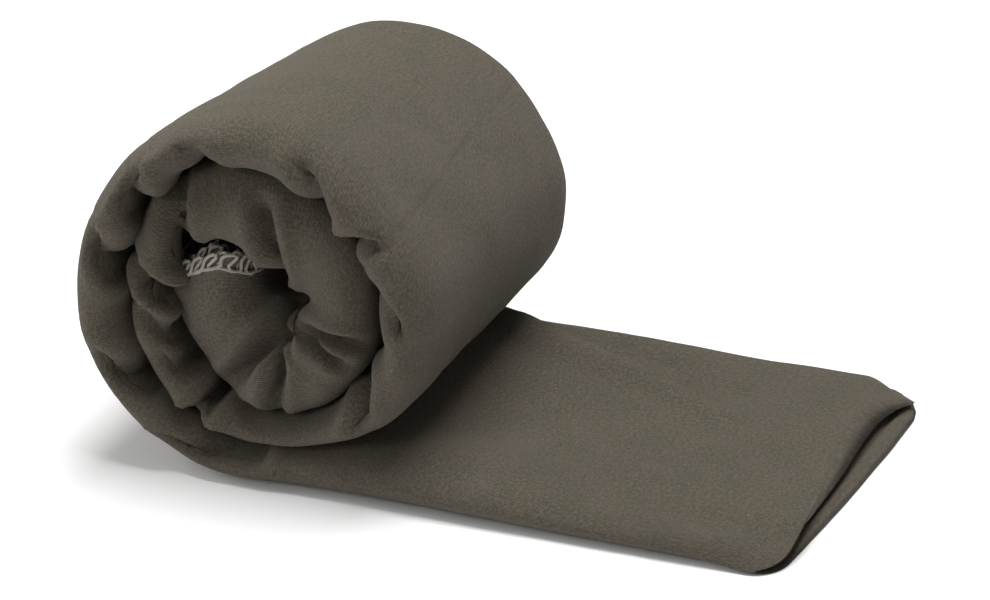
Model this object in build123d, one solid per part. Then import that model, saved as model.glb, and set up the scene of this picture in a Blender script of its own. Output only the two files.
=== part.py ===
from build123d import *
import math
import os

# Quick-dry travel towel, folded to a narrow strip, rolled up, with the end of the strip left lying flat.
# Millimetres. +X runs along the flat tail, away from the roll. +Y runs across the strip, from the near
# edge, where one big fold encloses all the layers, to the far edge, where they open. +Z is up, and z = 0
# is the surface that the towel lies on. The origin is the middle of the roll's foot.
#
# The cloth is 600 x 1200. It is folded in half to 600 x 600, so that every layer is a pair of sheets and
# the fold ends the tail. The pair is folded in thirds to 200 and then in half to a 100 wide strip.
# In the strip the middle third is the cover panel, and the two outer thirds are flaps nested inside it.
# Each is a hairpin in section: an upper leg, a round turn at the near edge and a lower leg.

# Driving dimensions
strip_width = 100.0  # a sixth of the towel's width
sheet_pair = 1.4  # room that one pair of sheets takes in the stack
layer_gap = 0.1  # air left between one pair and the next
turn_gap = 2.4  # air left between one turn of the roll and the next
roll_height = 82.0  # outside height of the roll, on the surface
roll_flat = 5.0  # straight stretch at the top and the bottom of each turn
tail_near = 112.0  # where the tail ends at the near edge, from the roll's middle
tail_far = 129.0  # where the tail ends at the far edge: it lies askew
near_corner = 7.0  # the tail's corner radii, seen from above
far_corner = 9.0
hinge_x = 32.5  # line where the tail lifts from the roll's foot
hinge_gap = 0.3  # air between the foot and the tail there
overlock_width = 4.0  # width of the overlocked edge seams

# Worked out from them
pairs = 3  # cover panel, first flap and second flap
stack = 2 * pairs * sheet_pair  # thickness of the strip
half = stack / 2
turn_pitch = stack + turn_gap
first_radius = roll_height / 2 - half  # of the strip's middle, in the outermost half turn
radius_step = turn_pitch / 2  # each half turn is this much tighter than the one outside it
cover_half_turns = 5
flap_half_turns = 7  # the flaps curl on inside the cover panel's last half turn and fill the core
upper_fold = sheet_pair  # outside radii of the two folds at the far edge
lower_fold = 1.5 * sheet_pair
seam_gap = 0.05

PANELS = ("cover_panel", "first_flap", "second_flap")  # from the outside of the stack inwards


def half_turn(index):
    """Centre (x, z) and radius of a half turn. The even ones rise on the left, the odd ones fall on the right."""
    radius = first_radius - index * radius_step
    rising = index % 2 == 0
    foot = half + (index // 2) * turn_pitch
    if rising:
        return -roll_flat / 2, foot + radius, radius
    top = foot + 2 * (first_radius - (index - 1) * radius_step)
    return roll_flat / 2, top - radius, radius


def section_plane(x, z, rising):
    """Plane across the strip: its first axis runs along +Y and its second towards the inside of the roll."""
    return Plane(origin=(x, 0, z), x_dir=(0, 1, 0), z_dir=(1 if rising else -1, 0, 0))


def hairpin(layer, upper_end, lower_end):
    """Section of one nested pair, from its upper leg round the near fold to its lower leg."""
    outer = half - layer * sheet_pair
    inner = outer - sheet_pair + layer_gap
    turn = half
    outline = (
        Polyline((turn, inner), (upper_end, inner), (upper_end, outer), (turn, outer))
        + ThreePointArc((turn, outer), (turn - outer, 0), (turn, -outer))
        + Polyline((turn, -outer), (lower_end, -outer), (lower_end, -inner), (turn, -inner))
        + ThreePointArc((turn, -inner), (turn - inner, 0), (turn, inner))
    )
    return make_face(outline)


def far_fold(centre, radius):
    """Section of the fold that joins two legs at the far edge: half a ring, or a lip round a free edge."""
    ring = Circle(radius) - Circle(radius - sheet_pair + layer_gap)
    room = Pos(radius + seam_gap, 0) * Rectangle(2 * radius, 4 * radius)
    return Pos(strip_width - radius, centre) * (ring & room)


def leg_strip(layer, lower, start, end):
    """Section of a narrow strip in the place of one leg, for the overlocked long edges."""
    outer = half - layer * sheet_pair
    middle = outer - (sheet_pair - layer_gap) / 2
    if lower:
        middle = -middle
    return Pos((start + end) / 2, middle) * Rectangle(end - start, sheet_pair - layer_gap)


def swept_line(section, x_from, x_to, z, rising):
    """The section drawn straight along X."""
    face = section_plane(x_from, z, rising) * section
    return extrude(face, amount=abs(x_to - x_from), dir=(1 if x_to > x_from else -1, 0, 0))


def swept_turn(section, index, skip=0.0, sweep=180.0):
    """The section turned about a half turn's centre, from skip degrees after its start."""
    x, z, radius = half_turn(index)
    rising = index % 2 == 0
    axis = Axis((x, 0, z), (0, 1, 0))
    start = section_plane(x, z - radius if rising else z + radius, rising) * section
    if skip:
        start = start.rotate(axis, skip)
    return revolve(start, axis, sweep)


def swept_flat(section, index):
    """The short straight stretch after a half turn, that leads to the next one."""
    x, z, radius = half_turn(index)
    rising_next = index % 2 == 1
    level = z - radius if rising_next else z + radius
    return swept_line(section, x, -x, level, rising_next)


def turns(section, first, last, end_angle=180.0):
    """Half turns first to last with the flats between them. The last one stops at end_angle."""
    pieces = []
    for index in range(first, last + 1):
        sweep = end_angle if index == last else 180.0
        pieces.append(swept_turn(section, index, sweep=sweep))
        if index < last:
            pieces.append(swept_flat(section, index))
    return pieces


def foot(section):
    """The stretch under the roll, from the hinge line to the first half turn."""
    return swept_line(section, hinge_x - hinge_gap / 2, -roll_flat / 2, half, True)


def joined(pieces):
    whole = pieces[0]
    for piece in pieces[1:]:
        whole = whole + piece
    return whole


def tail_outline():
    """Outline of the tail from above, with its askew end and round corners."""
    start = hinge_x + hinge_gap / 2
    corners = Polyline(
        (start, 0), (tail_near, 0), (tail_far, strip_width), (start, strip_width), close=True
    )
    plan = make_face(corners)
    near = plan.vertices().sort_by_distance((tail_near, 0, 0))[0]
    plan = fillet(near, near_corner)
    far = plan.vertices().sort_by_distance((tail_far, strip_width, 0))[0]
    return fillet(far, far_corner)


def tail(section):
    """The section drawn along the tail and cut to its outline."""
    bar = swept_line(section, hinge_x + hinge_gap / 2, tail_far, half, True)
    return bar & extrude(tail_outline(), stack)


def start_seam(section, last):
    """The overlocked short edge that begins the strip, in the core. It ends the last half turn."""
    radius = half_turn(last)[2]
    angle = math.degrees(overlock_width / radius)
    return swept_turn(section, last, skip=180.0 - angle, sweep=angle), 180.0 - angle


upper_end = strip_width - upper_fold
lower_end = strip_width - lower_fold
free_edge = strip_width - lower_fold - overlock_width
sections = {
    "cover_panel": hairpin(0, upper_end, lower_end),
    "first_flap": hairpin(1, upper_end, free_edge - seam_gap),
    "second_flap": hairpin(2, free_edge - seam_gap, lower_end),
}
last_turn = {
    "cover_panel": cover_half_turns - 1,
    "first_flap": flap_half_turns - 1,
    "second_flap": flap_half_turns - 1,
}

nodes = {}
for panel in PANELS:
    section = sections[panel]
    last = last_turn[panel]
    seam, seam_start = start_seam(section, last)
    nodes[panel + "_tail"] = tail(section)
    nodes[panel + "_outer_turn"] = joined([foot(section), *turns(section, 0, 1), swept_flat(section, 1)])
    nodes[panel + "_second_turn"] = joined([*turns(section, 2, 3), swept_flat(section, 3)])
    nodes[panel + "_core"] = joined(turns(section, 4, last, seam_start))
    nodes[panel + "_start_overlock"] = seam

# The folds at the far edge run along the cover panel, and the two overlocked long edges along the flaps.
far_edge = {
    "far_upper_fold": (far_fold(half - upper_fold, upper_fold), last_turn["cover_panel"]),
    "far_lower_fold": (far_fold(lower_fold - half, lower_fold), last_turn["cover_panel"]),
    "first_flap_edge_overlock": (leg_strip(1, True, free_edge, lower_end), last_turn["first_flap"]),
    "second_flap_edge_overlock": (leg_strip(2, False, free_edge, lower_end), last_turn["second_flap"]),
}
for name, (section, last) in far_edge.items():
    nodes[name + "_tail"] = tail(section)
    nodes[name + "_roll"] = joined([foot(section), *turns(section, 0, last)])

os.makedirs("parts", exist_ok=True)
for name, shape in nodes.items():
    centred = Pos(0, -strip_width / 2, 0) * shape
    export_step(centred, f"parts/{name}.step")

length = (tail_near + tail_far + roll_flat) / 2
for index in range(flap_half_turns):
    length += math.pi * half_turn(index)[2] + (roll_flat if index else 0)
print(f"strip: {stack:.1f} thick, {length:.0f} long, turns {turn_pitch:.1f} apart")
print(f"the tail lifts about the line x = {hinge_x}, z = {stack:.1f}")
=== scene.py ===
import math

import bpy
import numpy as np
from mathutils import Matrix, Vector, noise


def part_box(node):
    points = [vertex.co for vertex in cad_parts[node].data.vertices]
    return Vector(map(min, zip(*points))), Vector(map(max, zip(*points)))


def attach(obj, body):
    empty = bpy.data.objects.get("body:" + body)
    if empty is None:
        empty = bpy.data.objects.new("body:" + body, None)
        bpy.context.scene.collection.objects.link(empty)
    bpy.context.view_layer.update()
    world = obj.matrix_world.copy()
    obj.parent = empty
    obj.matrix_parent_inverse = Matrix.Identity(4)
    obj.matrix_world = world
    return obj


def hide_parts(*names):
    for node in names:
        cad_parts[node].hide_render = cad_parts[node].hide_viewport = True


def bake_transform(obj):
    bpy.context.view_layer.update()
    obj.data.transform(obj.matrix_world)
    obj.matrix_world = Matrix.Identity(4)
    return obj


noise.seed_set(1)  # without a seed, Blender's noise is different in every run

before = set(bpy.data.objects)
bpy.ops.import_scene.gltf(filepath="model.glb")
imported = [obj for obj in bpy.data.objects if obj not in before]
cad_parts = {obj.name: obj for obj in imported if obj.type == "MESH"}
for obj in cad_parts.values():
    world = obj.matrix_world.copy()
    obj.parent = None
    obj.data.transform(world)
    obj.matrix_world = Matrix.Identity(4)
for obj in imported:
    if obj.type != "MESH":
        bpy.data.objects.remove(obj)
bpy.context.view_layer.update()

# A quick-dry travel towel, folded to a strip and rolled up, with the end of the strip lying flat.
#
# One cloth of 600 x 1200 mm is folded in half, so that it is a pair of sheets, A and B. The pair is folded in
# thirds, into a cover panel and two flaps, and then in half along the cover panel's middle. So the strip has six
# sheets in its upper leg and six in its lower leg, and every one of them goes round the near edge.
#
# A point on the strip has three coordinates. "turn" is the place along it: from -1 at the tail's end to 0 under
# the roll, and from there the angle in degrees, wound on from the roll's foot up its left side. "y" is the place
# across it. "level" is the place in its thickness, from -1 at the roll's outside (the tail's bottom) to 1 at the
# roll's inside (the tail's top).

MM = 0.001

# Places from the frame, in millimetres
FAR_FOLD = 1.35  # the far folds, outside the cover panel's own node
(_, panel_near, _), (_, panel_far, _) = [[c / MM for c in corner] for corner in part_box("cover_panel_tail")]
strip_width = round(panel_far - panel_near + FAR_FOLD)
near_y = -strip_width / 2
far_y = strip_width / 2

# The roll's turns are drawn about a line that runs from the near edge to the far edge.
NEAR_CENTRE = (6.0, 38.0)
FAR_CENTRE = (-4.0, 38.0)
LAST_TURN = 838.0  # where the strip starts, in the core
MOUTH_ROOM = 7.0  # how far the mouth opens behind the near face
TAIL_LENGTH = 118.0  # about, from the roll's foot to the tail's end


def smoothstep(x, low, high):
    k = np.clip((x - low) / (high - low), 0, 1)
    return k * k * (3 - 2 * k)


def bump(x, centre, width):
    return np.exp(-(((x - centre) / width) ** 2))


def gap_near(turn):
    """Air between one turn and the next at the near edge. It is widest beside the core."""
    return 0.4 + 2.4 * bump(turn, 275, 28) + 1.6 * bump(turn, 146, 9)


def near_outside(turn):
    """Radius of the strip's outside at the near edge: a spiral whose turns are set off to the left of the core."""
    spiral = 47.0 - 12.0 * turn / 360 + 8.0 * np.cos(np.radians(turn - 95))
    feet = 8.5 * bump(turn, 5, 45) + 6.0 * bump(turn, 362, 42)  # the first two turns are pressed flat at their feet
    shoulders = 3.0 * bump(turn, 165, 40) + 3.0 * bump(turn, 495, 35)
    return spiral - feet + shoulders


def near_inside(turn):
    """Radius of the strip's inside at the near edge: the next turn's outside, and then the core's mouth and eye."""
    next_turn = near_outside(turn + 360) + gap_near(turn)
    mouth = 22.0 * (1 - smoothstep(turn, 478, 525)) + 17.0 * smoothstep(turn, 770, 880)
    eye = 1.0 + 4.5 * (1 - smoothstep(turn, 520, 660))
    core = smoothstep(turn, 440, 462)
    return next_turn * (1 - core) + (mouth + eye) * core


def far_outside(turn):
    """Radius of the strip's outside at the far edge. It steps in where the strip starts to run inside its last turn."""
    steps = 11.5 * smoothstep(turn, 290, 365) + 9.5 * smoothstep(turn, 640, 725) + 9.0 * smoothstep(turn, 985, 1085)
    folds = 2.5 * bump(turn, 90, 45) + 1.5 * bump(turn, 270, 30) + 3.0 * bump(turn, 455, 50)
    return 37.6 + 2.0 * smoothstep(turn, 0, 60) - steps + folds


def wave(x, seed):
    """Slow unevenness between -1 and 1, the same every run."""
    return (np.sin(x * 1.0 + seed) + 0.6 * np.sin(x * 2.3 + 2.1 * seed) + 0.4 * np.sin(x * 4.1 + 3.7 * seed)) / 2


def tail_end(y, level):
    """How far the tail reaches along x. Its upper leg stops short of the lower one between the corners."""
    k = (y - near_y) / strip_width
    end = 113.0 + 14.5 * k + 1.5 * np.sin(math.pi * k)
    near_corner = 7.0 * (1 - np.sqrt(1 - np.clip(1 - (y - near_y) / 8.0, 0, 1) ** 2))
    far_corner = 15.0 * (1 - np.sqrt(1 - np.clip(1 - (far_y - y) / 17.0, 0, 0.99) ** 2))
    mouth = 9.0 * smoothstep(k, 0.08, 0.7) * smoothstep(1 - k, 0.09, 0.3) + 1.6 * smoothstep(y, 38, 48)
    return end - near_corner - far_corner - mouth * smoothstep(level, -0.2, 0.9)


def tail_top(x, y):
    """Height of the tail's upper side: thick by the roll, thinner at the end, with soft folds along it."""
    height = 9.3 - 3.2 * smoothstep(x, 20, 95)
    # a long soft ridge from the roll's far end to the middle of the tail's end
    ridge_y = 38.0 - 0.42 * (x - 20)
    height = height + 3.4 * bump(y, ridge_y, 4.2) * smoothstep(x, 12, 30) * (1 - smoothstep(x, 62, 108))
    # and the furrow behind it
    height = height - 3.0 * bump(y, ridge_y + 10, 6.0) * smoothstep(x, 20, 45) * (1 - smoothstep(x, 70, 105))
    # the hollow in front of it, and the swelling along the near edge by the roll
    height = height - 1.6 * bump(y, -12, 17.0) * smoothstep(x, 10, 26) * (1 - smoothstep(x, 44, 84))
    height = height + 1.8 * bump(y, -36, 9.0) * smoothstep(x, -5, 18) * (1 - smoothstep(x, 40, 78))
    # the dent beside the near corner
    height = height - 1.5 * bump(y, -40, 5.0) * bump(x, 100, 13)
    # the far edge sinks, and at the tail's end the upper leg comes down to the far corner
    return height * (1 - 0.55 * smoothstep(y, 40, 51))


def strip_sides(turn, y):
    """The strip's outside and inside, as (x, z) pairs, at a place along it and across it."""
    k = np.clip((y - near_y) / strip_width, 0, 1)
    inner_blend = smoothstep(k, 0.12, 0.6)
    centre_x = NEAR_CENTRE[0] + (FAR_CENTRE[0] - NEAR_CENTRE[0]) * k
    centre_z = NEAR_CENTRE[1] + (FAR_CENTRE[1] - NEAR_CENTRE[1]) * k
    angle = np.maximum(turn, 0)
    # the mouth at the strip's start is slanted
    slant = 17.0 * smoothstep(angle, 770, LAST_TURN) * (1 - inner_blend)
    angle_out, angle_in = angle - slant, angle + slant
    # just behind the near face the mouth opens, into room that the turn outside it leaves
    behind = smoothstep(y, near_y + 5, near_y + 15) * (1 - inner_blend)
    room_out = MOUTH_ROOM * behind * bump(angle_out, 832, 34)
    room_in = MOUTH_ROOM * behind * bump(angle_in, 472, 34)

    first = 1 - smoothstep(angle_out, 300, 380)  # the outermost turn keeps its own shape all the way across
    blend_out = first * k + (1 - first) * inner_blend
    outside = near_outside(angle_out) * (1 - blend_out) + far_outside(angle_out) * blend_out + room_out
    first_in = 1 - smoothstep(angle_in, -60, 20)
    blend_in = first_in * k + (1 - first_in) * inner_blend
    inside = near_inside(angle_in) * (1 - blend_in) + (far_outside(angle_in + 360) + 0.9) * blend_in + room_in
    # the turns are rounder and closer at their far edge
    edge = smoothstep(y, 43, 51)
    middle = (outside + inside) / 2
    outside = outside + (middle - outside) * 0.16 * edge
    inside = inside + (middle - inside) * 0.16 * edge

    rad_out, rad_in = np.radians(angle_out), np.radians(angle_in)
    roll_out = (centre_x - outside * np.sin(rad_out), centre_z - outside * np.cos(rad_out))
    roll_in = (centre_x - inside * np.sin(rad_in), centre_z - inside * np.cos(rad_in))
    return roll_out, roll_in, centre_x, centre_z


def place(turn, y, level, short=0.0):
    """Point of the strip. short is how far a sheet stops short of the tail's end."""
    out, into, centre_x, centre_z = strip_sides(turn, y)
    share = (1 + level) / 2
    roll_x = out[0] + (into[0] - out[0]) * share
    roll_z = out[1] + (into[1] - out[1]) * share
    back = np.clip(-turn, 0, 1)
    end = tail_end(y, level) - short
    tail_x = centre_x + (end - centre_x) * back
    foot_top = into[1]
    top = tail_top(tail_x, y)
    top = foot_top + (top - foot_top) * smoothstep(tail_x, centre_x, centre_x + 16)
    # near the end both corners close: the upper leg comes down onto the lower one
    far_closing = smoothstep(tail_x, end - 11, end) * smoothstep(y, far_y - 20, far_y - 7)
    near_closing = smoothstep(tail_x, end - 14, end) * (1 - smoothstep(y, near_y + 2, near_y + 17))
    top = top * (1 - 0.8 * far_closing) * (1 - 0.7 * near_closing)
    tail_z = top * share
    on_tail = turn < 0
    return np.where(on_tail, tail_x, roll_x), np.where(on_tail, tail_z, roll_z)


# Fraction of the strip's half thickness at which each sheet of each panel lies, from the outside inwards
COVER = {"A": 1.0, "B": 0.86}
FIRST_FLAP = {"A": 0.5, "B": 0.66}
SECOND_FLAP = {"A": 0.12, "B": 0.3}
RIM_STEPS = {0: 26, 1: 8, 2: 8}  # columns round the near edge, by panel
LEG_STEPS = {0: 32, 1: 9, 2: 9}  # columns along each leg
LEG_GRADING = {0: 1.6, 1: 1.2, 2: 1.2}  # the cover panel's columns crowd together towards the near edge
FOLD_STEPS = 6  # columns round each far fold
SHORT = {0: 0.0, 1: 4.0, 2: 6.0}  # how far each panel stops short of the tail's end
BACK = {0: 0.0, 1: 3.0, 2: 7.0}  # and how far, in degrees, it lies back from the start in the core
EDGE_REACH = 0.9  # the flaps' free edges stop short of the far fold
RIM_RADIUS = 2.0  # of the half round in which the pair's two sheets meet at the tail's end
FOLD_ROOM = 1.9  # left for the round of the far folds
HALF_STACK = 4.2  # half the strip's thickness
LIP = 17.0  # degrees that the strip's start rises round the front of the near edge
SHEET_B_BACK = 4.0  # degrees that sheet B lies back behind sheet A at the strip's start


def section(sheet):
    """Columns of the cloth from one long edge to the other: rim share, leg share, fold reach, level and panel."""
    columns = []

    def rim(level, upwards, panel):
        steps = RIM_STEPS[panel]
        for i in range(1, steps):
            angle = math.pi * (i / steps - 0.5) * (1 if upwards else -1)
            columns.append((1 - level * math.cos(angle), 0, 0, level * math.sin(angle), panel))

    def leg(level, outwards, reach, panel):
        steps = LEG_STEPS[panel]
        for i in range(steps + 1):
            share = (i if outwards else steps - i) / steps
            columns.append((1, reach * share ** LEG_GRADING[panel], 0, level, panel))

    def fold(level_from, level_to, panel_from, panel_to):
        middle, radius = (level_from + level_to) / 2, (level_from - level_to) / 2
        for i in range(1, FOLD_STEPS):
            angle = math.pi * i / FOLD_STEPS
            panel = panel_from if i < FOLD_STEPS / 2 else panel_to
            columns.append((1, 1, abs(radius) * math.sin(angle), middle + radius * math.cos(angle), panel))

    cover, first, second = COVER[sheet], FIRST_FLAP[sheet], SECOND_FLAP[sheet]
    leg(-first, False, EDGE_REACH, 1)
    rim(first, True, 1)
    leg(first, True, 1, 1)
    fold(first, cover, 1, 0)
    leg(cover, False, 1, 0)
    rim(cover, False, 0)
    leg(-cover, True, 1, 0)
    fold(-cover, -second, 0, 2)
    leg(-second, False, 1, 2)
    rim(second, True, 2)
    leg(second, True, EDGE_REACH, 2)
    return np.array(columns)


def row_turns(tail_rows, degrees):
    """Places along the strip, from its start in the core to the tail's end, where the rows crowd together."""
    roll = np.arange(LAST_TURN, 0, -degrees)
    tail = 1 - (1 - np.linspace(0, 1, tail_rows)) ** 1.25
    return np.concatenate([roll, -tail])


def rim_depth(turn):
    """How deep the near edge's round fold is."""
    depth = 9.5 + 1.0 * bump(turn, 190, 70) + 0.5 * smoothstep(turn, 500, 620)
    return np.where(turn < 0, 9.5 - 4.0 * np.clip(-turn, 0, 1), depth)


def near_edge(turn):
    """The near edge's y. The inner turns lie a little further back."""
    edge = near_y + 0.3 + 2.6 * smoothstep(turn, 300, 430) + 1.5 * smoothstep(turn, 440, 520)
    edge = edge - 2.4 * smoothstep(turn, 540, 620) + 3.4 * smoothstep(turn, 735, 790)
    return edge + 0.7 * wave(turn / 30, 1.0) * smoothstep(turn, 0, 60)


def far_edge(turn):
    return far_y - 0.8 - 0.9 * (1 + wave(turn / 55, 2.0)) * smoothstep(turn, 0, 120)


def by_panel(values, panel):
    return np.select([panel == 0, panel == 1], [values[0], values[1]], values[2])


SECTIONS = {sheet: section(sheet) for sheet in "AB"}
PANEL = SECTIONS["A"][:, 4]
RANK = {sheet: (COVER[sheet], FIRST_FLAP[sheet], SECOND_FLAP[sheet]) for sheet in "AB"}  # each panel's level


def sheet_points(sheet, turns):
    """A sheet's points, a row for each place along the strip and a column for each place across the cloth."""
    middle = (SECTIONS["A"] + SECTIONS["B"]) / 2
    from_end = TAIL_LENGTH * (1 + np.minimum(turns, 0))
    apart = np.sqrt(np.clip(1 - (1 - np.clip(from_end / RIM_RADIUS, 0, 1)) ** 2, 0, 1))
    mixed = middle + (SECTIONS[sheet] - middle) * apart[:, None, None]
    rim, reach, fold, level, _ = np.moveaxis(mixed, -1, 0)
    back = by_panel(BACK, PANEL) + (SHEET_B_BACK if sheet == "B" else 0.0)
    lip = LIP * (1 - (level / by_panel(RANK[sheet], PANEL)) ** 2) * (reach == 0)
    turn = turns[:, None] + (lip - back) * smoothstep(turns[:, None], 740, LAST_TURN)
    depth, low, high = rim_depth(turn), near_edge(turn), far_edge(turn)
    y = low + depth * rim + (high - low - depth - FOLD_ROOM) * reach + fold * HALF_STACK
    if sheet == "B":
        # the cover panel's pair is puffed up at the tail's end, so its rim is thick and soft
        puff = 0.7 * bump(from_end[:, None], 1.5, 3.0) * (PANEL == 0)
        level = level * (1 - puff * smoothstep(y, near_y + 8, near_y + 22))
    x, z = place(turn, y, level, by_panel(SHORT, PANEL))
    return np.stack([x, y, z], axis=-1), turn


ROWS = {"A": row_turns(84, 2.6), "B": row_turns(42, 5.2)[::-1][1:]}
points_a, turn_a = sheet_points("A", ROWS["A"])
points_b, turn_b = sheet_points("B", ROWS["B"])
points = np.concatenate([points_a, points_b])
turns = np.concatenate([turn_a, turn_b])
levels = np.concatenate([np.broadcast_to(SECTIONS[s][:, 3], (len(ROWS[s]), len(PANEL))) for s in "AB"])


def normals_of(grid):
    """Unit normals of a grid of points."""
    n = np.cross(np.gradient(grid, axis=0), np.gradient(grid, axis=1))
    return n / np.maximum(np.linalg.norm(n, axis=-1, keepdims=True), 1e-9)


# Creases in the near face, seen as a clock with the roll's foot at six. Each has its lap round the roll, the hour and
# the share of the strip's thickness at both ends, where 0 is its inside and 1 its outside, and a depth and a width.
CREASES = (
    # in the core
    (1, (3, 0.2), (3.25, 0.8), 5.0, 1.1),
    (1, (4, 0.2), (4, 0.7), 4.5, 1.1),
    (2, (6.5, 0.1), (6.5, 0.9), 7.5, 1.3),
    (2, (8, 0.0), (7.5, 0.9), 8.5, 1.7),
    # in the second turn
    (1, (10.5, 0.95), (9.75, 0.1), 7.5, 1.9),
    (1, (9.5, 1.0), (9, 0.0), 7.5, 1.5),
    (1, (9, 0.9), (8.5, 0.1), 3.5, 2.0),
    (1, (8.25, 0.5), (8, 0.0), 4.0, 2.6),
    (1, (7.5, 1.0), (7.5, 0.0), 7.5, 1.6),
    (1, (11.5, 0.75), (11.25, 0.1), 6.0, 1.5),
    # in the outer turn
    (0, (10.5, 0.9), (10, 0.0), 8.5, 1.6),
    (0, (9.75, 0.9), (9.25, 0.0), 6.5, 1.4),
    (0, (8.5, 0.7), (8, 0.0), 4.5, 1.7),
    (0, (7.5, 0.7), (6.5, 0.1), 4.0, 1.5),
    (0, (11, 0.5), (11, 0.0), 3.0, 2.0),
    (0, (12.25, 0.7), (12.5, 0.0), 4.5, 1.9),
    (0, (1, 0.0), (1.5, 0.8), 4.5, 1.3),
    (0, (2, 0.1), (2.75, 0.8), 3.0, 1.7),
    (0, (4, 0.0), (4.75, 0.8), 5.5, 1.5),
)


def on_clock(lap, hour, share):
    """A crease's end, as the place along the strip and the radius."""
    turn = 360 * lap + 30 * ((hour - 6) % 12)
    return turn, near_inside(turn) + share * (near_outside(turn) - near_inside(turn))


def in_core_plane(turn, radius):
    angle = math.radians(turn)
    return np.array([NEAR_CENTRE[0] - radius * math.sin(angle), NEAR_CENTRE[1] - radius * math.cos(angle)])


def crease(points, turns, start, end, depth, width):
    """How far a crease pushes each point in. The cloth swells a little on both sides of it."""
    a, b = in_core_plane(*start), in_core_plane(*end)
    flat = points[..., [0, 2]]
    along = b - a
    k = ((flat - a) @ along) / (along @ along)
    on = np.clip(k, 0, 1)
    gap = np.linalg.norm(flat - a - on[..., None] * along, axis=-1) / width
    same_turn = np.abs(turns - (start[0] + on * (end[0] - start[0]))) < 75
    near = 1 - smoothstep(points[..., 1], near_y + 7, near_y + 24)
    return depth * (np.exp(-(gap**2)) - 0.26 * np.exp(-(((gap - 2.6) / 1.4) ** 2))) * near * same_turn


# The grid's normals point out of the strip on sheet A's flaps and sheet B's cover panel, and into it elsewhere
by_sheet = np.repeat([1.0, -1.0], [len(ROWS["A"]), len(ROWS["B"])])
outwards = np.where(PANEL == 0, -1.0, 1.0)[None, :] * by_sheet[:, None]
normals = normals_of(points) * outwards[..., None]
from_axis = points[..., [0, 2]] - np.array(NEAR_CENTRE)
from_axis /= np.linalg.norm(from_axis, axis=-1, keepdims=True)
outer_shoulder = smoothstep((normals[..., [0, 2]] * from_axis).sum(axis=-1), 0.15, 0.85)
# sheets further in move less, so that they stay in order
share = np.concatenate([np.broadcast_to(by_panel(RANK[s], PANEL), (len(ROWS[s]), len(PANEL))) for s in "AB"])
# a crease fades on the outer shoulder: wholly on the outer turn, least on the core
fading = np.select([turns < 360, turns < 700], [0.96, 0.6], 0.65)
push = sum(
    crease(points, turns, on_clock(lap, *start), on_clock(lap, *end), depth, width)
    for lap, start, end, depth, width in CREASES
)
push = push * (1 - fading * outer_shoulder) * share
points = points - normals * push[..., None]


def softness(point):
    """Slow unevenness of the soft cloth. All sheets at a place move together, so they stay in order."""
    wide = noise.noise_vector(Vector(point) / 19) * 0.9
    return wide + noise.noise_vector(Vector(point) / 8 + Vector((5, 5, 5))) * 0.3


moves = np.array([softness(p) for p in points.reshape(-1, 3)]).reshape(points.shape)
points = points + moves * (1 - 0.6 * (turns < 0))[..., None]  # the tail lies smoother than the roll
# nothing sinks into the floor, and the sheets further in stay a little above it
points[..., 2] = np.maximum(points[..., 2], 0.15 + 0.5 * (1 - np.abs(levels)))


def add_mesh(name, verts, faces):
    mesh = bpy.data.meshes.new(name)
    mesh.from_pydata(verts, [], faces)
    mesh.polygons.foreach_set("use_smooth", [True] * len(mesh.polygons))
    mesh.update()
    piece = bpy.data.objects.new(name, mesh)
    bpy.context.scene.collection.objects.link(piece)
    return piece


def grid_faces(rows, cols, closed=False):
    index = np.arange(rows * cols).reshape(rows, cols)
    if closed:
        index = np.concatenate([index, index[:, :1]], axis=1)
    return np.stack([index[:-1, :-1], index[1:, :-1], index[1:, 1:], index[:-1, 1:]], axis=-1).reshape(-1, 4).tolist()


def add_uv(piece, uv):
    layer = piece.data.uv_layers.new(name="UVMap")
    loops = np.empty(len(piece.data.loops), dtype=np.int32)
    piece.data.loops.foreach_get("vertex_index", loops)
    layer.data.foreach_set("uv", uv[loops].ravel())


rows, cols = points.shape[:2]
cloth = add_mesh("towel_cloth", (points.reshape(-1, 3) * MM).tolist(), grid_faces(rows, cols))

# UVs in metres: along the cloth, and across it from the near edge
step_u = np.linalg.norm(np.diff(points, axis=0), axis=-1)
step_v = np.linalg.norm(np.diff(points, axis=1), axis=-1)
along = np.concatenate([[0], np.cumsum(np.median(step_u, axis=1))])
across = np.concatenate([np.zeros((rows, 1)), np.cumsum(step_v, axis=1)], axis=1)
across = across - across[:, cols // 2][:, None]
add_uv(cloth, np.stack([np.broadcast_to(along[:, None], across.shape), across], axis=-1).reshape(-1, 2) * MM)
# Where the near face is bunched up, its knit is too close to see
true_u = np.concatenate([step_u, step_u[-1:]]) / np.maximum(np.diff(along, append=along[-1] + 1), 0.05)[:, None]
spread = np.clip((true_u - 0.35) / 0.5, 0, 1).reshape(-1)
shown = cloth.data.attributes.new("knit_spread", "FLOAT", "POINT")
shown.data.foreach_set("value", spread.astype(np.float32))


# Overlocked edges: two threads that loop over the edge, one on each face, and a line of needle stitches
STITCH = 4.4  # length of one loop along the edge
POINTS_PER_STITCH = 12
SEAM = 4.4  # depth of the seam


def sample(grid, i, j):
    """The grid at fractional places."""
    i, j = np.clip(i, 0, grid.shape[0] - 1.001), np.clip(j, 0, grid.shape[1] - 1.001)
    i0, j0 = i.astype(int), j.astype(int)
    di, dj = (i - i0)[:, None], (j - j0)[:, None]
    top = grid[i0, j0] * (1 - dj) + grid[i0, j0 + 1] * dj
    low = grid[i0 + 1, j0] * (1 - dj) + grid[i0 + 1, j0 + 1] * dj
    return top * (1 - di) + low * di


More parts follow.
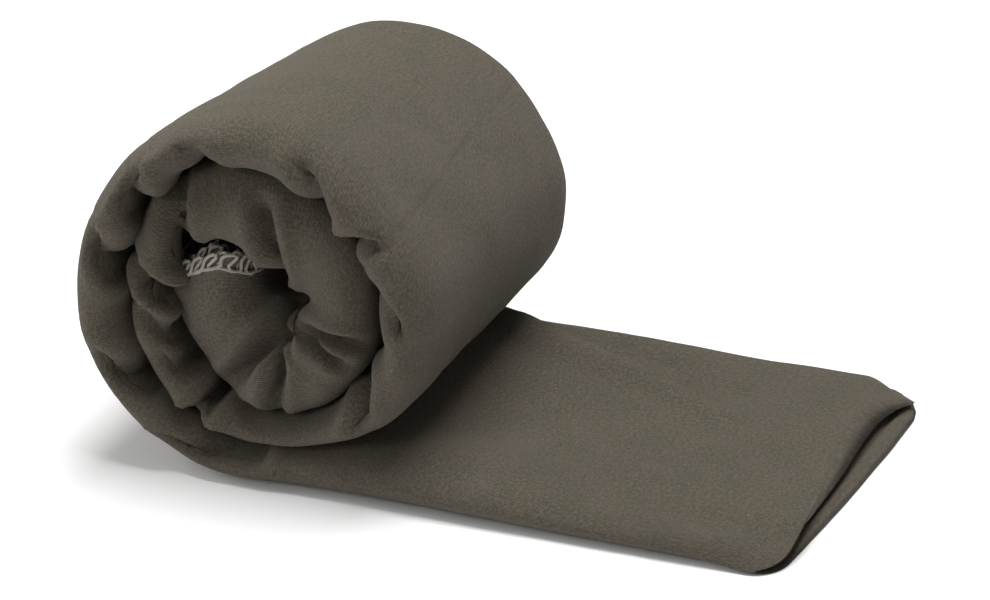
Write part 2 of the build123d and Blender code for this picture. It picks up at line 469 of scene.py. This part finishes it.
def tube(path, normals, radius, sides=5):
    """Points of a thread along a path, a ring for each point."""
    ahead = np.gradient(path, axis=0)
    ahead /= np.maximum(np.linalg.norm(ahead, axis=1, keepdims=True), 1e-9)
    side = np.cross(ahead, normals)
    side /= np.maximum(np.linalg.norm(side, axis=1, keepdims=True), 1e-9)
    up = np.cross(side, ahead)
    turn = np.linspace(0, 2 * math.pi, sides, endpoint=False)
    ring = side[:, None] * np.cos(turn)[None, :, None] + up[:, None] * np.sin(turn)[None, :, None]
    return path[:, None] + radius * ring


def overlock(name, grids, thread, flatness):
    """Loops of thread over the first row of each grid of points. Where the cloth presses on them they are flatter."""
    verts, faces, uvs, count = [], [], [], 0
    for grid in grids:
        normals = normals_of(grid)
        edge = np.concatenate([[0], np.cumsum(np.linalg.norm(np.diff(grid[0], axis=0), axis=1))])
        depths = np.cumsum(np.linalg.norm(np.diff(grid, axis=0), axis=-1), axis=0)
        depths = np.concatenate([np.zeros((1, grid.shape[1])), depths])
        stitches = int(edge[-1] / STITCH)
        t = np.arange(0, stitches, 1 / POINTS_PER_STITCH)
        uneven = 1 + 0.08 * np.sin(t * 2.1) + 0.05 * np.sin(t * 5.3)
        loop_s = STITCH * (t + 0.2 * np.sin(4 * math.pi * t))
        loop_d = SEAM * (0.46 - 0.52 * np.cos(2 * math.pi * t) * uneven)
        lift = (0.42 + 0.14 * np.sin(2 * math.pi * t + 0.6)) * flatness
        needle_d = SEAM * 0.93 + 0.12 * np.sin(2 * math.pi * t)
        needle_lift = (0.34 + 0.16 * np.cos(2 * math.pi * t)) * flatness
        threads = (
            (loop_s, loop_d, lift),
            (loop_s + STITCH / 2, loop_d, -lift),
            (STITCH * t, needle_d, needle_lift),
            (STITCH * t, needle_d, -needle_lift),
        )
        for s, d, height in threads:
            j = np.interp(s, edge, np.arange(len(edge)))
            nearest = np.rint(j).astype(int)
            rows_in = np.arange(len(depths))
            i = np.array([np.interp(depth, depths[:, column], rows_in) for depth, column in zip(d, nearest)])
            beyond = np.minimum(d, 0)[:, None]
            base = sample(grid, i, j)
            inwards = sample(grid, np.full_like(j, 1.0), j) - sample(grid, np.zeros_like(j), j)
            inwards /= np.maximum(np.linalg.norm(inwards, axis=1, keepdims=True), 1e-9)
            normal = sample(normals, i, j)
            path = base + inwards * beyond + normal * height[:, None]
            rings = tube(path, normal, thread)
            n, sides = rings.shape[:2]
            verts.append(rings.reshape(-1, 3))
            faces += (np.array(grid_faces(n, sides, closed=True)) + count).tolist()
            run = np.concatenate([[0], np.cumsum(np.linalg.norm(np.diff(path, axis=0), axis=1))])
            uvs.append(np.stack([np.repeat(run, sides), np.tile(np.arange(sides), n)], axis=1))
            count += n * sides
    piece = add_mesh(name, (np.concatenate(verts) * MM).tolist(), faces)
    add_uv(piece, np.concatenate(uvs) * MM)
    return piece


class Nodes:
    """Short calls that add and link a material's nodes."""

    def __init__(self, name):
        self.material = bpy.data.materials.new(name)
        self.material.use_nodes = True
        self.tree = self.material.node_tree
        self.shader = self.tree.nodes["Principled BSDF"]

    def put(self, socket, value):
        if isinstance(value, bpy.types.NodeSocket):
            self.tree.links.new(value, socket)
        else:
            socket.default_value = value

    def add(self, kind, settings=(), **inputs):
        """A node's first output. An input is given by name, or by number as _0, _1, _2."""
        made = self.tree.nodes.new("ShaderNode" + kind)
        for key, value in dict(settings).items():
            setattr(made, key, value)
        for key, value in inputs.items():
            numbered = key[0] == "_" and key[1:].isdigit()
            self.put(made.inputs[int(key[1:]) if numbered else key.replace("_", " ")], value)
        return made.outputs[0]

    def math(self, operation, a, b=0.0, c=0.0):
        return self.add("Math", {"operation": operation}, _0=a, _1=b, _2=c)

    def noise(self, vector, scale, detail=2.0, roughness=0.5):
        return self.add("TexNoise", Vector=vector, Scale=scale, Detail=detail, Roughness=roughness)

    def mix(self, share, a, b):
        made = self.tree.nodes.new("ShaderNodeMix")
        made.data_type = "RGBA"
        for index, value in ((0, share), (6, a), (7, b)):
            self.put(made.inputs[index], value)
        return made.outputs[2]

    def split(self, vector):
        made = self.tree.nodes.new("ShaderNodeSeparateXYZ")
        self.tree.links.new(vector, made.inputs[0])
        return made.outputs[0], made.outputs[1]

    def bump(self, height, strength, distance):
        self.link(self.add("Bump", Height=height, Strength=strength, Distance=distance), "Normal")

    def link(self, value, name):
        self.tree.links.new(value, self.shader.inputs[name])


def cloth_material():
    """Brushed fine-gauge knit: ribs across the strip, V stitches along them, and a short nap over both. Its grooves get
    painted shade.
    """
    n = Nodes("brushed_knit")
    uv = n.add("UVMap")
    u, v = n.split(uv)
    wobble = n.math("MULTIPLY", n.noise(uv, 220.0, 1.0), 0.0012)
    rib_pitch, stitch_pitch = 0.00066, 0.0005
    rib_phase = n.math("MULTIPLY", n.math("ADD", u, wobble), 2 * math.pi / rib_pitch)
    rib = n.math("SINE", rib_phase)
    slope = n.math("MULTIPLY", n.math("ABSOLUTE", n.math("SINE", n.math("MULTIPLY", rib_phase, 0.5))), 2.2)
    stitch = n.math("SINE", n.math("ADD", n.math("MULTIPLY", v, 2 * math.pi / stitch_pitch), slope))
    knit = n.math("MULTIPLY_ADD", rib, 0.42, n.math("MULTIPLY", stitch, 0.58))
    spread = n.add("Attribute", {"attribute_name": "knit_spread"}).node.outputs["Fac"]
    nap_patch = n.noise(uv, 90.0, 3.0, 0.6)
    seen = n.math("MULTIPLY", spread, n.math("MULTIPLY_ADD", nap_patch, -0.9, 1.15))
    # the nap hides the knit away from the near fold
    euler = 2.718
    from_fold = n.math("POWER", n.math("MULTIPLY", v, 38.0), 2.0)
    by_fold = n.math("ADD", n.math("POWER", euler, n.math("MULTIPLY", from_fold, -1.0)), 0.35)
    knit = n.math("MULTIPLY", n.math("MULTIPLY", knit, seen), by_fold)
    fuzz = n.noise(uv, 5200.0, 3.0, 0.7)
    clump = n.noise(uv, 1300.0, 4.0, 0.7)
    height = n.math("ADD", n.math("MULTIPLY", knit, 0.5), n.math("ADD", n.math("MULTIPLY", fuzz, 0.9), clump))
    n.bump(height, 0.8, 0.00035)
    warm, green = (0.106, 0.084, 0.061, 1), (0.080, 0.077, 0.049, 1)
    patches = n.add("Clamp", Value=n.math("MULTIPLY_ADD", n.noise(uv, 110.0, 4.0, 0.65), 3.0, -1.0))
    base = n.mix(patches, warm, green)
    # painted shade: the colour is darkened in the knit's grooves, where shade would fall between its ribs and stitches
    groove_shade = n.add("Clamp", Value=n.math("MULTIPLY_ADD", knit, -0.4, 0.22))
    groove_shade_colour = (0.034, 0.031, 0.024, 1)
    base = n.mix(groove_shade, base, groove_shade_colour)
    speck = n.add("Clamp", Value=n.math("MULTIPLY_ADD", clump, 2.6, -1.05))
    pale = (0.20, 0.172, 0.146, 1)
    base = n.mix(n.math("MULTIPLY", speck, 0.75), base, pale)
    n.link(base, "Base Color")
    n.link(n.math("MULTIPLY_ADD", clump, 0.15, 0.84), "Roughness")
    n.shader.inputs["Specular IOR Level"].default_value = 0.12
    n.shader.inputs["Sheen Weight"].default_value = 0.14
    n.shader.inputs["Sheen Roughness"].default_value = 0.45
    n.shader.inputs["Sheen Tint"].default_value = (0.8, 0.76, 0.7, 1)
    return n.material


def thread_material():
    """Soft textured thread: fine plies wound round it, uneven in tone."""
    n = Nodes("overlock_thread")
    uv = n.add("UVMap")
    run, side = n.split(uv)
    twist = n.math("MULTIPLY_ADD", run, 2 * math.pi / 0.0011, n.math("MULTIPLY", side, 1047.0))
    ply = n.math("SINE", twist)
    fuzz = n.noise(uv, 3800.0, 3.0, 0.7)
    height = n.math("ADD", n.math("MULTIPLY", ply, 0.5), fuzz)
    n.bump(height, 0.6, 0.00012)
    shade = n.add("Clamp", Value=n.math("MULTIPLY_ADD", n.noise(uv, 420.0, 3.0), 2.0, -0.5))
    base = n.mix(shade, (0.36, 0.33, 0.28, 1), (0.24, 0.225, 0.19, 1))
    n.link(base, "Base Color")
    n.link(n.math("MULTIPLY_ADD", fuzz, 0.2, 0.7), "Roughness")
    n.shader.inputs["Specular IOR Level"].default_value = 0.2
    n.shader.inputs["Sheen Weight"].default_value = 0.2
    return n.material


START_ROWS, EDGE_COLUMNS = 14, 6  # as deep as the seams can reach
START_THREAD, HIDDEN_THREAD = (0.42, 1), (0.17, 0.35)  # radius, and how far its loops stand off the cloth
starts = [points[:START_ROWS], points[::-1][:START_ROWS]]
edges = points.transpose(1, 0, 2)
seams = {
    name: overlock(name, grids, *thread)
    for name, grids, thread in (
        ("start_overlock", starts, START_THREAD),
        ("first_flap_edge_overlock", [edges[:EDGE_COLUMNS]], HIDDEN_THREAD),
        ("second_flap_edge_overlock", [edges[::-1][:EDGE_COLUMNS]], HIDDEN_THREAD),
    )
}

cloth.data.materials.append(cloth_material())
thread = thread_material()
for piece in seams.values():
    piece.data.materials.append(thread)

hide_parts(*[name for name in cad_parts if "overlock" not in name])
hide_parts(*[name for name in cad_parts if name.endswith("start_overlock")])
for flap in ("first_flap", "second_flap"):
    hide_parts(flap + "_edge_overlock_roll", flap + "_edge_overlock_tail")

# The cloth and the flaps' edge threads have their placement baked in. The thread at the strip's start is attached to
# the roll.
for piece in (cloth, seams["first_flap_edge_overlock"], seams["second_flap_edge_overlock"]):
    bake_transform(piece)
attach(seams["start_overlock"], "roll")


def add_camera():
    data = bpy.data.cameras.new("camera")
    camera = bpy.data.objects.new("camera", data)
    bpy.context.scene.collection.objects.link(camera)
    data.lens = 93.9
    data.sensor_width = 36
    data.clip_start = 0.01
    data.clip_end = 20
    yaw, pitch, roll = np.radians((-19.0, 23.4, 0.71))
    forward = np.array([math.sin(yaw) * math.cos(pitch), math.cos(yaw) * math.cos(pitch), -math.sin(pitch)])
    right = np.array([math.cos(yaw), -math.sin(yaw), 0])
    up = np.cross(right, forward)
    right, up = right * math.cos(roll) + up * math.sin(roll), up * math.cos(roll) - right * math.sin(roll)
    place = (0.2087, -0.5038, 0.2608)
    camera.matrix_world = Matrix([[right[i], up[i], -forward[i], place[i]] for i in range(3)] + [[0, 0, 0, 1]])
    bpy.context.scene.camera = camera


def add_area(name, place, target, size, power):
    data = bpy.data.lights.new(name, "AREA")
    data.shape = "RECTANGLE"
    data.size, data.size_y = size
    data.energy = power
    lamp = bpy.data.objects.new(name, data)
    bpy.context.scene.collection.objects.link(lamp)
    lamp.location = place
    lamp.rotation_euler = (Vector(target) - Vector(place)).to_track_quat("-Z", "Y").to_euler()


def add_floor():
    floor = add_mesh("floor", [(-3, -3, 0), (3, -3, 0), (3, 3, 0), (-3, 3, 0)], [(0, 1, 2, 3)])
    material = bpy.data.materials.new("pale_floor")
    material.use_nodes = True
    shader = material.node_tree.nodes["Principled BSDF"]
    shader.inputs["Base Color"].default_value = (0.92, 0.92, 0.92, 1)
    shader.inputs["Roughness"].default_value = 0.9
    floor.data.materials.append(material)


def add_world(strength):
    world = bpy.data.worlds.new("studio")
    world.use_nodes = True
    background = world.node_tree.nodes["Background"]
    background.inputs[0].default_value = (1, 1, 1, 1)
    background.inputs[1].default_value = strength
    bpy.context.scene.world = world


add_camera()
add_floor()
add_area("key", (0.05, 0.12, 1.0), (0.02, 0, 0.03), (0.6, 0.6), 12.2)
add_area("side", (-0.8, -0.2, 0.5), (0.0, 0, 0.04), (0.5, 0.5), 2.5)
add_area("front", (-0.35, -0.85, 0.5), (0.0, -0.05, 0.04), (0.3, 0.3), 2.2)
add_world(0.24)
bpy.context.scene.view_settings.view_transform = "Standard"
